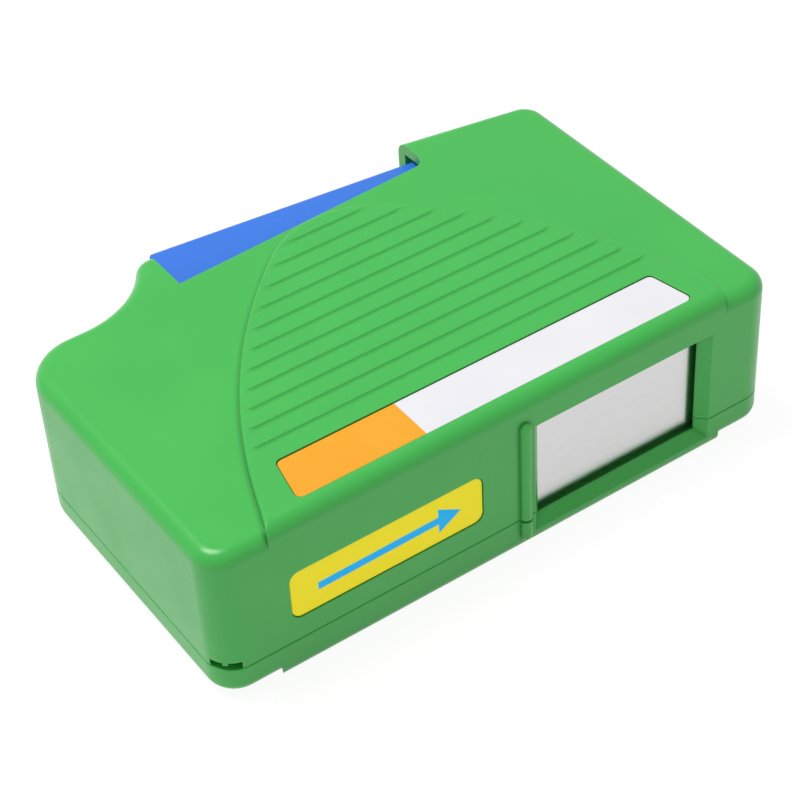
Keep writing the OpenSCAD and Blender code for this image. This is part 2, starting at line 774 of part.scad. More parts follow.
// Shallow grooves with sloped sides across the top panel; their ends run out near its edge
module grooves() {
    floor_w = groove_w / 3;
    side = (groove_w - floor_w) / 2 * over / groove_d;
    intersection() {
        for (k = [0 : groove_count - 1])
            translate([0, groove_start + k * groove_pitch, total_h])
                rotate([90, 0, 90])
                linear_extrude(case_len)
                polygon([
                    [-floor_w / 2, -groove_d],
                    [floor_w / 2, -groove_d],
                    [groove_w / 2 + side, over],
                    [-groove_w / 2 - side, over],
                ]);
        lofted(panel_path, panel_radii, [
            [total_h - 2 * groove_d, groove_end + 2 * groove_run],
            [total_h, groove_end],
            [total_h + 2 * over, groove_end],
        ]);
    }
}

module top_recess() {
    translate([0, 0, total_h - recess_d])
        linear_extrude(recess_d + over)
        short_sided(top_label_path, top_label_radii, -label_gap);
}

// Rounded plate standing on the front face: its front at y, its inside towards the case
module front_plate(x, y, z, w, h, r, t) {
    corners = [[x, z], [x + w, z], [x + w, z + h], [x, z + h]];
    translate([0, y + t, 0])
        rotate([90, 0, 0])
        linear_extrude(t)
        outline(corners, [r, r, r, r]);
}

module arrow_recess() {
    front_plate(arrow_label_x - label_gap, -over, arrow_label_z - label_gap,
        arrow_label_w + 2 * label_gap, arrow_label_h + 2 * label_gap, arrow_label_r + label_gap,
        recess_d + over);
}

module lower_shell() {
    color("mediumseagreen") placed() difference() {
        union() {
            difference() {
                lower_form();
                case_hollows();
                rib_waste(1);
            }
            difference() {
                lip(0);
                translate([0, 0, -over]) linear_extrude(total_h + 2 * over) notch_plan();
                window_cut();
                block(0, 0, 0, [front_corner_r + pry_w / 2, front_corner_r + pry_w / 2, total_h]);
            }
            lower_posts();
        }
        lower_holes();
    }
}

// Posts, bosses and ribs on the lower shell's floor
module lower_posts() {
    root = floor_z - wall / 2;
    for (p = screw_places) column(p[0], p[1], panel_step + tiny, post_r, split_z - panel_step - tiny);
    column(supply_x, supply_y, root, 2 * shaft_r, reel_z - clear - root);
    column(pivot_x, pivot_y, root, 2 * pin_r, lever_z - clear - root);
    // Two ribs that keep the slider against the front wall
    for (x = [2 * front_corner_r, slider_end_x - 4 * wall])
        block(x, rack_pitch_y + addendum + clear, root, [4 * wall, wall / 2, gear_z + gear_t - root]);
    bump_wall(root, split_z - root);
}

module lower_holes() {
    for (p = screw_places) {
        column(p[0], p[1], panel_step - over, screw_head_r + clear, counterbore_d + over);
        column(p[0], p[1], panel_step, screw_r + clear / 2, split_z);
    }
    socket_z = floor_z - wall / 2;
    column(supply_x, supply_y, socket_z, shaft_r, reel_z);
    column(take_up_x, take_up_y, socket_z, shaft_r, reel_z);
    column(gear_x, gear_y, socket_z, pin_r, reel_z);
    column(pivot_x, pivot_y, socket_z, pin_r, reel_z);
}

module case_screws() {
    color("silver") placed() for (p = screw_places) {
        difference() {
            column(p[0], p[1], pilot_z - screw_head_h, screw_head_r, screw_head_h);
            for (a = [0, 90])
                translate([p[0], p[1], pilot_z - screw_head_h])
                    rotate([0, 0, a])
                    cube([1.2 * screw_head_r, screw_r / 2, screw_head_h], center = true);
        }
        column(p[0], p[1], pilot_z, screw_r, screw_len);
    }
}

module arrow_label() {
    color("gold") placed()
        front_plate(arrow_label_x, recess_d - label_t, arrow_label_z,
            arrow_label_w, arrow_label_h, arrow_label_r, label_t);
}

module top_label() {
    placed() translate([0, 0, total_h - recess_d]) {
        color("orange") linear_extrude(label_t) intersection() {
            short_sided(top_label_path, top_label_radii, 0);
            square([top_label_x + orange_w, case_len]);
        }
        color("white") linear_extrude(label_t) difference() {
            short_sided(top_label_path, top_label_radii, 0);
            square([top_label_x + orange_w, case_len]);
        }
    }
}

module lever() {
    color("royalblue") placed() difference() {
        union() {
            lever_channel();
            column(pivot_x, pivot_y, lever_z, lever_boss_r, lever_h);
            translate([pivot_x, pivot_y, sector_z]) linear_extrude(gear_t) sector_outline();
            lever_ribs();
            // Peg that centres the lever spring
            translate([spring_x, spring_y1, spring_z])
                rotate([-90, 0, 0])
                cylinder(r = spring_r - 2 * spring_wire_r - clear, h = lever_wall + clear);
        }
        column(pivot_x, pivot_y, lever_z - over, pin_r + turn_clear, lever_h + 2 * over);
    }
}

// The lever is a channel: back, top and bottom flanges, closed at its free end and its heel
module lever_channel() {
    intersection() {
        translate([0, 0, lever_z]) linear_extrude(lever_h) outline(lever_path, lever_radii);
        union() {
            lever_bar() difference() {
                lever_section();
                translate([-case_len, lever_wall]) square([case_len - lever_wall, lever_h - 2 * lever_wall]);
            }
            intersection() {
                lever_bar() lever_section();
                union() {
                    block(0, 0, 0, [lever_tip_x + lever_wall, 2 * peak_depth, total_h]);
                    block(hollow_end_x, 0, 0, [case_len, 2 * peak_depth, total_h]);
                }
            }
        }
    }
}

// Section across the lever, its back at x = 0, with rounded outer edges
module lever_section() {
    difference() {
        translate([-2 * lever_flange, 0]) square([2 * lever_flange, lever_h]);
        translate([0, lever_h]) edge_waste(lever_edge_r);
        mirror([0, 1]) edge_waste(lever_edge_r);
    }
}

// Runs a section along the lever's back, past both ends
module lever_bar() {
    heel = [lever_path[2][0], lever_path[2][1]];
    tip = [lever_path[3][0], lever_path[3][1]];
    along = unit(tip - heel) * lever_boss_r;
    translate([tip[0] + along[0], tip[1] + along[1], lever_z])
        rotate([90, 0, turned(tip - heel) - 90])
        linear_extrude(norm(tip - heel) + 2 * lever_boss_r)
        children();
}

// Two upright ribs between the flanges
module lever_ribs() {
    for (share = [1 / 3, 2 / 3]) {
        x = lever_tip_x + share * (hollow_end_x - lever_tip_x);
        block(x, lever_back_y(x) - lever_flange / 2, lever_z + lever_wall / 2,
            [lever_wall, lever_flange / 2 - lever_wall / 2, lever_h - lever_wall]);
    }
}

// Toothed sector of the lever, drawn round the pivot
module sector_outline() {
    step = 360 / sector_teeth;
    from = sector_angle - lever_stroke - sector_lead;
    to = sector_angle + sector_lead;
    root = pitch_r(sector_teeth) - dedendum;
    difference() {
        intersection() {
            circle(root + tooth_size / 4);
            wedge(root, from, to);
        }
        intersection() {
            difference() {
                circle(root - 4 * tooth_size);
                circle(2.5 * lever_boss_r);
            }
            wedge(root, from + sector_lead, to - sector_lead);
        }
    }
    first = ceil((from - sector_angle) / step + 0.5);
    last = floor((to - sector_angle) / step - 0.5);
    for (k = [first : last])
        polygon(concat(
            [polar(root - tooth_size, sector_angle + (k - 0.3) * step)],
            tooth(sector_teeth, sector_angle + k * step),
            [polar(root - tooth_size, sector_angle + (k + 0.3) * step)]
        ));
}

module lever_pin() {
    color("silver") placed()
        column(pivot_x, pivot_y, floor_z - wall / 2, pin_r, ceiling_z - floor_z + wall);
}

// Compression spring: a tube swept along a helix, with a straight run at each end
module lever_spring() {
    turns = [for (k = [0 : spring_turns * spring_steps]) k / spring_steps];
    rise = (spring_y1 - spring_y0) / spring_turns;
    rings = [for (t = turns) [
        for (s = [0 : spring_sides - 1]) let (
            a = 360 * t,
            b = 360 * s / spring_sides,
            r = spring_r - spring_wire_r + spring_wire_r * cos(b)
        ) [r * cos(a), rise * t + spring_wire_r * sin(b), r * sin(a)]
    ]];
    echo(spring_gap = rise - 2 * spring_wire_r);
    color("silver") placed() translate([spring_x, spring_y0, spring_z]) skinned(rings);
}

module gear_shaft() {
    color("silver") placed()
        column(gear_x, gear_y, floor_z - wall / 2, pin_r, reel_z + reel_h / 2 - floor_z + wall / 2);
}

module drive_gear() {
    color("whitesmoke") placed() translate([gear_x, gear_y, gear_z]) difference() {
        union() {
            linear_extrude(gear_t) gear_outline(wheel_teeth, -90);
            linear_extrude(reel_z - clear - gear_z)
                gear_outline(pinion_teeth, sector_angle + 180 + 180 / pinion_teeth);
        }
        translate([0, 0, -over]) cylinder(r = pin_r + turn_clear, h = reel_z);
        // Lightening holes in the large wheel
        for (a = [0 : 60 : 300])
            rotate([0, 0, a])
                column((pitch_r(wheel_teeth) + pitch_r(pinion_teeth)) / 2, 0, -over,
                    pitch_r(wheel_teeth) / 6, gear_t + 2 * over);
    }
}

module shutter_plate() {
    color("gainsboro") placed() difference() {
        block(plate_x, plate_y, gear_z, [plate_w, shutter_t, plate_h]);
        shutter_rivet_holes();
    }
}

module shutter_rivet_holes() {
    for (share = [0.15, 0.85])
        translate([plate_x + share * plate_w, plate_y - over, gear_z + gear_t / 2])
            rotate([-90, 0, 0])
            cylinder(r = rivet_r, h = shutter_t + slider_t + 2 * over);
}

// Two rivets, filed flush on both sides
module shutter_rivets() {
    color("silver") placed() for (share = [0.15, 0.85])
        translate([plate_x + share * plate_w, plate_y, gear_z + gear_t / 2])
            rotate([-90, 0, 0])
            cylinder(r = rivet_r, h = shutter_t + slider_t);
}

// Bar behind the foot of the shutter plate, with the rack that the drive gear moves
module shutter_slider() {
    y = plate_y + shutter_t;
    half = tooth_pitch / 4 - flank_gap / 2;
    root_y = rack_pitch_y - dedendum;
    tip_y = rack_pitch_y + addendum;
    color("dimgray") placed() difference() {
        union() {
            block(rack_x, y, gear_z, [slider_end_x - rack_x, slider_t, gear_t]);
            for (k = [0 : rack_count - 1])
                translate([gear_x + (k - 0.5) * tooth_pitch, 0, gear_z])
                    linear_extrude(gear_t)
                    polygon([
                        [-half - dedendum * tan(pressure), root_y - slider_t / 2],
                        [half + dedendum * tan(pressure), root_y - slider_t / 2],
                        [half + dedendum * tan(pressure), root_y],
                        [half - addendum * tan(pressure), tip_y],
                        [-half + addendum * tan(pressure), tip_y],
                        [-half - dedendum * tan(pressure), root_y],
                    ]);
        }
        shutter_rivet_holes();
    }
}

// Bracket that holds the pad behind the tape and the two guide rollers
module platen_frame() {
    x0 = left_roller_x - frame_end;
    x1 = right_roller_x + frame_end;
    y0 = roller_y - roller_pin_r - frame_t;
    color("dimgray") placed() difference() {
        union() {
            block(opening_x, frame_back_y, frame_z, [opening_w, frame_t, frame_h]);
            block(x0, y0, frame_z, [x1 - x0, frame_back_y + frame_t - y0, flange_t]);
            block(x0, y0, frame_z + frame_h - frame_t, [x1 - x0, frame_back_y + frame_t - y0, frame_t]);
            for (x = frame_screw_xs())
                column(x, frame_screw_y, frame_z + frame_h - frame_t, screw_head_r, frame_t);
        }
        for (x = [left_roller_x, right_roller_x])
            column(x, roller_y, frame_z - over, roller_pin_r, frame_h + 2 * over);
        for (x = frame_screw_xs())
            column(x, frame_screw_y, frame_z + frame_h - frame_t - over, screw_r / 2 + clear / 3, frame_t + 2 * over);
    }
}

module frame_screws() {
    color("silver") placed() for (x = frame_screw_xs()) {
        z = frame_z + frame_h - frame_t;
        column(x, frame_screw_y, z - screw_head_h / 2, screw_head_r / 2, screw_head_h / 2);
        column(x, frame_screw_y, z, screw_r / 2, frame_t + (ceiling_z - frame_z - frame_h) - clear);
    }
}

module platen_pad() {
    color("lightgray") placed()
        block(opening_x, pad_y, tape_z, [opening_w, pad_t, tape_w]);
}

module roller(x) {
    z0 = frame_z + flange_t + clear;
    h = frame_h - frame_t - flange_t - 2 * clear;
    color("whitesmoke") placed() difference() {
        column(x, roller_y, z0, roller_r, h);
        column(x, roller_y, z0 - over, roller_pin_r + turn_clear, h + 2 * over);
    }
}

module roller_pin(x) {
    color("silver") placed() column(x, roller_y, frame_z, roller_pin_r, frame_h);
}

module left_roller() {
    roller(left_roller_x);
}

module right_roller() {
    roller(right_roller_x);
}

module left_roller_pin() {
    roller_pin(left_roller_x);
}

module right_roller_pin() {
    roller_pin(right_roller_x);
}

module reel_shaft(x, y) {
    color("silver") placed()
        column(x, y, floor_z - wall / 2, shaft_r, ceiling_z - floor_z + wall);
}

module supply_shaft() {
    reel_shaft(supply_x, supply_y);
}

module take_up_shaft() {
    reel_shaft(take_up_x, take_up_y);
}

// Reel with six holes through its flanges; its bore is wide up to the given height
module reel(x, y, flange_r, wide_r, wide_h) {
    hole_r = (flange_r - core_r) / 4;
    color("ghostwhite") placed() translate([x, y, reel_z]) difference() {
        union() {
            cylinder(r = core_r, h = reel_h);
            cylinder(r = flange_r, h = flange_t);
            translate([0, 0, reel_h - flange_t]) cylinder(r = flange_r, h = flange_t);
        }
        translate([0, 0, -over]) cylinder(r = shaft_r + turn_clear, h = reel_h + 2 * over);
        if (wide_h > 0) translate([0, 0, -over]) cylinder(r = wide_r, h = wide_h + over);
        for (a = [0 : 60 : 300])
            rotate([0, 0, a])
                column((flange_r + core_r) / 2, 0, -over, hole_r, reel_h + 2 * over);
    }
}

module tape_roll(x, y, r) {
    color("white") placed() translate([x, y, tape_z]) difference() {
        cylinder(r = r, h = tape_w);
        translate([0, 0, -over]) cylinder(r = core_r, h = tape_w + 2 * over);
    }
}

module supply_reel() {
    reel(supply_x, supply_y, supply_flange_r, shaft_r, 0);
}

module take_up_reel() {
    reel(take_up_x, take_up_y, take_up_flange_r, clutch_outer_r, clutch_h + clear);
}

module fresh_tape_roll() {
    tape_roll(supply_x, supply_y, fresh_roll_r);
}

module used_tape_roll() {
    tape_roll(take_up_x, take_up_y, used_roll_r);
}

module supply_felt_washer() {
    color("gray") placed() translate([supply_x, supply_y, reel_top_z + clear / 2]) difference() {
        cylinder(r = 3 * shaft_r, h = washer_t);
        translate([0, 0, -over]) cylinder(r = shaft_r + turn_clear, h = washer_t + 2 * over);
    }
}

// Gear under the take-up reel; its hub reaches up into the one-way clutch
module clutch_gear() {
    start = clutch_angle + 180 - clutch_tooth_offset * wheel_teeth / clutch_teeth + 180 / clutch_teeth;
    color("whitesmoke") placed() translate([take_up_x, take_up_y, gear_z]) difference() {
        union() {
            linear_extrude(gear_t) gear_outline(clutch_teeth, start);
            cylinder(r = clutch_hub_r, h = reel_z + clutch_h - gear_z);
        }
        translate([0, 0, -over]) cylinder(r = shaft_r + turn_clear, h = reel_z + reel_h);
    }
}

module one_way_clutch() {
    color("silver") placed() translate([take_up_x, take_up_y, reel_z]) difference() {
        cylinder(r = clutch_outer_r, h = clutch_h);
        translate([0, 0, -over]) cylinder(r = clutch_hub_r + turn_clear, h = clutch_h + 2 * over);
    }
}

// Cleaning tape from the supply roll over both rollers and the pad to the take-up roll
module tape_run() {
    supply = [supply_x, supply_y];
    left = [left_roller_x, roller_y];
    right = [right_roller_x, roller_y];
    take_up = [take_up_x, take_up_y];
    near = roller_r + clear;
    lead = side_angle(supply, left, fresh_roll_r - roller_r);
    tail = side_angle(right, take_up, roller_r - used_roll_r);
    color("white") placed() translate([0, 0, tape_z]) {
        strip(supply + polar(fresh_roll_r + clear, lead), left + polar(near, lead), lead);
        bend(left, near, lead, -90);
        strip(left + polar(near, -90), right + polar(near, -90), -90);
        bend(right, near, -90, tail);
        strip(right + polar(near, tail), take_up + polar(used_roll_r + clear, tail), tail);
    }
}

// Angle of the shared tangent's normal for two circles whose radii differ by the given amount
function side_angle(a, b, difference) = turned(b - a) - acos(difference / norm(b - a));

// Flat stretch of tape on the outer side of the line from a to b, with a short lap at each end
module strip(a, b, normal) {
    lap = unit(b - a) * tape_t / 5;
    out = polar(tape_t, normal);
    linear_extrude(tape_w) polygon([a - lap, b + lap, b + lap + out, a - lap + out]);
}

// Stretch of tape round a roller between two angles
module bend(c, r, from, to) {
    translate([c[0], c[1], 0]) linear_extrude(tape_w) intersection() {
        difference() {
            circle(r + tape_t);
            circle(r);
        }
        wedge(r, from, to);
    }
}

upper_shell();
lower_shell();
case_screws();
arrow_label();
top_label();
lever();
lever_pin();
lever_spring();
gear_shaft();
drive_gear();
shutter_plate();
shutter_slider();
shutter_rivets();
platen_frame();
platen_pad();
frame_screws();
left_roller();
left_roller_pin();
right_roller();
right_roller_pin();
supply_shaft();
supply_reel();
fresh_tape_roll();
supply_felt_washer();
take_up_shaft();
take_up_reel();
used_tape_roll();
clutch_gear();
one_way_clutch();
tape_run();
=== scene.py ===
import bpy
import bmesh
import math
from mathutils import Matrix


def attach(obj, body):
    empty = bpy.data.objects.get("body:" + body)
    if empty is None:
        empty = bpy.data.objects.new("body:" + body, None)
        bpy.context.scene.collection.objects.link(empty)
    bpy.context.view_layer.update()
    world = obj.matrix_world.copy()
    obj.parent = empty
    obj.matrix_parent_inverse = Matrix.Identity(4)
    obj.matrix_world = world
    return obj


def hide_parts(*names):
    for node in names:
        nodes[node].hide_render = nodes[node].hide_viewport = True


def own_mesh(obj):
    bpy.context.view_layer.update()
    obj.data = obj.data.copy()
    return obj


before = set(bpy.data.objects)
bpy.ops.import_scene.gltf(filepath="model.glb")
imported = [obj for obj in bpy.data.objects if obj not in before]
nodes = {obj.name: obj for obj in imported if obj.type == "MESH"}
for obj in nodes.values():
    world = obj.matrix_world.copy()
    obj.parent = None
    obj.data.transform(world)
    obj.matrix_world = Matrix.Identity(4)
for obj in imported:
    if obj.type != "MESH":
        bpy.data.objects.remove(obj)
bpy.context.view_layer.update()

# Camera, at the photograph's place and turn. Its lens is that of a 36 mm sensor seen square.
camera_data = bpy.data.cameras.new("camera")
camera_data.lens = 102.33
camera_data.sensor_width = 36
camera = bpy.data.objects.new("camera", camera_data)
camera.location = (-0.18099, -0.28735, 0.30946)
camera.rotation_euler = [math.radians(a) for a in (48.547, 2.614, -35.007)]
bpy.context.scene.collection.objects.link(camera)
bpy.context.scene.camera = camera
bpy.context.scene.view_settings.view_transform = "Standard"


# Upper and lower shell: ABS mouldings in one bright green, with a fine spark-eroded grain that
# leaves a soft gloss. Their posts bear on each other, and four screws from below hold them together.
def srgb(red, green, blue):
    """Linear colour of an sRGB one given in 0 to 255."""
    shares = [c / 255 for c in (red, green, blue)]
    return tuple(((c + 0.055) / 1.055) ** 2.4 if c > 0.04045 else c / 12.92 for c in shares) + (1,)


def material(name):
    made = bpy.data.materials.new(name)
    made.use_nodes = True
    return made, made.node_tree, made.node_tree.nodes["Principled BSDF"]


def add(tree, kind, inputs=None, **settings):
    """A shader node with its settings made and its inputs set or linked."""
    node = tree.nodes.new("ShaderNode" + kind)
    for key, value in settings.items():
        setattr(node, key, value)
    for key, value in (inputs or {}).items():
        if isinstance(value, bpy.types.NodeSocket):
            tree.links.new(value, node.inputs[key])
        else:
            node.inputs[key].default_value = value
    return node


def noise(tree, scale, detail=3.0, stretch=(1, 1, 1), rough=0.5):
    """Noise over the object's own coordinates; scale is in waves per metre."""
    place = add(tree, "TexCoord").outputs["Object"]
    turned = add(tree, "Mapping", {"Vector": place, "Scale": stretch}).outputs["Vector"]
    made = add(tree, "TexNoise", {"Vector": turned, "Scale": scale, "Detail": detail, "Roughness": rough})
    return made.outputs["Fac"]


def spread(tree, value, low, high, from_low=0.3, from_high=0.7):
    """The value, which runs from from_low to from_high, brought to low to high."""
    made = add(tree, "MapRange", {"Value": value, "From Min": from_low, "From Max": from_high,
                                  "To Min": low, "To Max": high})
    return made.outputs["Result"]


def blended(tree, factor, first, second):
    """A colour between the first and the second, by the factor."""
    made = add(tree, "Mix", data_type="RGBA", clamp_factor=True)
    for socket, value in ((made.inputs[0], factor), (made.inputs[6], first), (made.inputs[7], second)):
        if isinstance(value, bpy.types.NodeSocket):
            tree.links.new(value, socket)
        else:
            socket.default_value = value
    return made.outputs[2]


def moulded(name, colour, shade, gloss=(0.27, 0.35), grain=0.1, edge=0.0003):
    """Moulded plastic: two close shades in slow drifts, a fine grain, and softened edges. The outer edges
    carry a painted highlight, lighter in colour, and the creases carry painted shade, darker in colour."""
    edge_highlight_share, crease_shade_share, crease_width, grain_scale = 0.85, 0.9, 0.0012, 2600
    edge_highlight_colour = [min(1, 1.35 * c + 0.06) for c in colour[:3]] + [1]
    crease_shade_colour = [0.35 * c for c in colour[:3]] + [1]
    made, tree, shader = material(name)
    body = blended(tree, spread(tree, noise(tree, 28, 2), 0, 1), colour, shade)
    soft = add(tree, "Bevel", {"Radius": edge}, samples=6).outputs["Normal"]
    flat = add(tree, "NewGeometry").outputs["Normal"]
    facing = add(tree, "VectorMath", {0: soft, 1: flat}, operation="DOT_PRODUCT").outputs["Value"]
    open_air = add(tree, "AmbientOcclusion", {"Distance": crease_width}, samples=8,
                   only_local=True).outputs["AO"]
    unoccluded = spread(tree, open_air, 0, 1, 0.8, 0.95)
    # Painted highlight: the colour is lightened along outer edges, where the bevel normal turns from the face
    # normal, but not in occluded corners.
    rounded = spread(tree, facing, edge_highlight_share, 0, 0.9, 0.998)
    edge_highlight_mask = add(tree, "Math", {0: rounded, 1: unoccluded}, operation="MULTIPLY").outputs[0]
    body = blended(tree, edge_highlight_mask, body, edge_highlight_colour)
    # Painted shade: the colour is darkened in creases, seams and recesses, where ambient occlusion closes in.
    body = blended(tree, spread(tree, open_air, crease_shade_share, 0, 0.35, 0.985), body, crease_shade_colour)
    tree.links.new(body, shader.inputs["Base Color"])
    tree.links.new(spread(tree, noise(tree, 90, 4), *gloss), shader.inputs["Roughness"])
    bump = add(tree, "Bump", {"Strength": grain, "Distance": 0.00004, "Height": noise(tree, grain_scale, 2),
                              "Normal": soft})
    tree.links.new(bump.outputs["Normal"], shader.inputs["Normal"])
    return made


def smooth_copy(name, piece_name, finish, body, sharp=25):
    """The CAD node with its facets merged into smooth faces that stay crisp at real edges, which turn
    by more than sharp degrees. It rides on the body and stands for the node."""
    merge_gap = 2e-6
    merged = bmesh.new()
    merged.from_mesh(nodes[name].data)
    bmesh.ops.remove_doubles(merged, verts=merged.verts, dist=merge_gap)
    for face in merged.faces:
        face.smooth = True
        face.material_index = 0
    for edge in merged.edges:
        edge.smooth = len(edge.link_faces) == 2 and edge.calc_face_angle(0) < math.radians(sharp)
    mesh = bpy.data.meshes.new(piece_name)
    merged.to_mesh(mesh)
    merged.free()
    piece = bpy.data.objects.new(piece_name, mesh)
    bpy.context.scene.collection.objects.link(piece)
    weighted = piece.modifiers.new("weighted", "WEIGHTED_NORMAL")
    weighted.keep_sharp = True
    view = bpy.context.evaluated_depsgraph_get()
    final = bpy.data.meshes.new_from_object(piece.evaluated_get(view))
    piece.modifiers.clear()
    piece.data = final
    final.materials.clear()
    final.materials.append(finish)
    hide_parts(name)
    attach(piece, body)
    return piece


shell_green = moulded("shell_green", (0.055, 0.52, 0.085, 1), (0.06, 0.55, 0.09, 1))
smooth_copy("lower_shell", "lower_shell_moulding", shell_green, "casing")
smooth_copy("upper_shell", "upper_shell_moulding", shell_green, "casing")


# Shafts and pins: ground steel rods, pressed into sockets of both shells and of the platen frame.
# Grinding leaves fine rings round them.
def steel(name, colour, gloss, stretch, scale=400, grain=0.05):
    """Bare steel with fine lines; stretch gives their direction."""
    duller = [0.94 * c for c in colour[:3]] + [1]
    made, tree, shader = material(name)
    shader.inputs["Metallic"].default_value = 1
    lines = noise(tree, scale, 4, stretch)
    tree.links.new(blended(tree, spread(tree, lines, 0, 1), duller, colour), shader.inputs["Base Color"])
    tree.links.new(spread(tree, lines, *gloss), shader.inputs["Roughness"])
    bump = add(tree, "Bump", {"Strength": grain, "Distance": 0.00002, "Height": lines})
    tree.links.new(bump.outputs["Normal"], shader.inputs["Normal"])
    return made


ground = steel("ground_steel", (0.62, 0.62, 0.61, 1), (0.16, 0.26), (1, 1, 30))
for name in ("lever_pin", "gear_shaft", "supply_shaft", "take_up_shaft", "left_roller_pin",
             "right_roller_pin"):
    smooth_copy(name, name + "_rod", ground, "casing")

# Gears: milk-white acetal mouldings that run dry on their shafts. The drive gear is a large wheel
# and a pinion in one piece; the clutch gear has a tall hub.
acetal = moulded("white_acetal", (0.78, 0.77, 0.72, 1), (0.83, 0.82, 0.77, 1),
                 gloss=(0.28, 0.36), grain=0.04, edge=0.0001)
milky = acetal.node_tree.nodes["Principled BSDF"].inputs
milky["Subsurface Weight"].default_value = 0.15
milky["Subsurface Scale"].default_value = 0.002
smooth_copy("drive_gear", "drive_gear_moulding", acetal, "drive_gear", sharp=20)
smooth_copy("clutch_gear", "clutch_gear_moulding", acetal, "clutch_gear", sharp=20)

# One-way clutch: a drawn steel cup with rollers inside, pressed into the take-up reel's bore. It
# turns the reel only one way.
drawn = steel("drawn_steel", (0.55, 0.55, 0.56, 1), (0.24, 0.36), (1, 1, 14), scale=700)
smooth_copy("one_way_clutch", "one_way_clutch_cup", drawn, "take_up")

# Shutter: a stainless sheet 0.5 mm thick, rolled to a satin mirror, on a black moulded slider with
# the rack. Two steel rivets, filed flush, hold them together.
rolled = steel("rolled_steel", (0.68, 0.67, 0.675, 1), (0.2, 0.27), (1, 1, 12), grain=0.03)
smooth_copy("shutter_plate", "shutter_plate_sheet", rolled, "shutter")
smooth_copy("shutter_rivets", "shutter_rivet_pair", rolled, "shutter")
black = moulded("black_moulding", (0.022, 0.022, 0.024, 1), (0.03, 0.03, 0.032, 1),
                gloss=(0.38, 0.5), edge=0.0001)
smooth_copy("shutter_slider", "shutter_slider_rack", black, "shutter", sharp=20)


# Platen: a black moulded frame that carries the foam pad behind the tape and a guide roller at each
# end. Two small screws hold it under the upper shell.
def foam(name, colour, shade):
    """Soft foam with open cells, darker in the cells."""
    made, tree, shader = material(name)
    place = add(tree, "TexCoord").outputs["Object"]
    cells = add(tree, "TexVoronoi", {"Vector": place, "Scale": 1800.0}).outputs["Distance"]
    tone = blended(tree, spread(tree, cells, 0, 1, 0.1, 0.6), colour, shade)
    tree.links.new(tone, shader.inputs["Base Color"])
    shader.inputs["Roughness"].default_value = 0.9
    bump = add(tree, "Bump", {"Strength": 0.5, "Distance": 0.0001, "Height": cells})
    tree.links.new(bump.outputs["Normal"], shader.inputs["Normal"])
    return made


smooth_copy("platen_frame", "platen_frame_moulding", black, "casing")
grey_foam = foam("grey_foam", (0.26, 0.26, 0.27, 1), (0.4, 0.4, 0.41, 1))
smooth_copy("platen_pad", "platen_pad_foam", grey_foam, "casing")


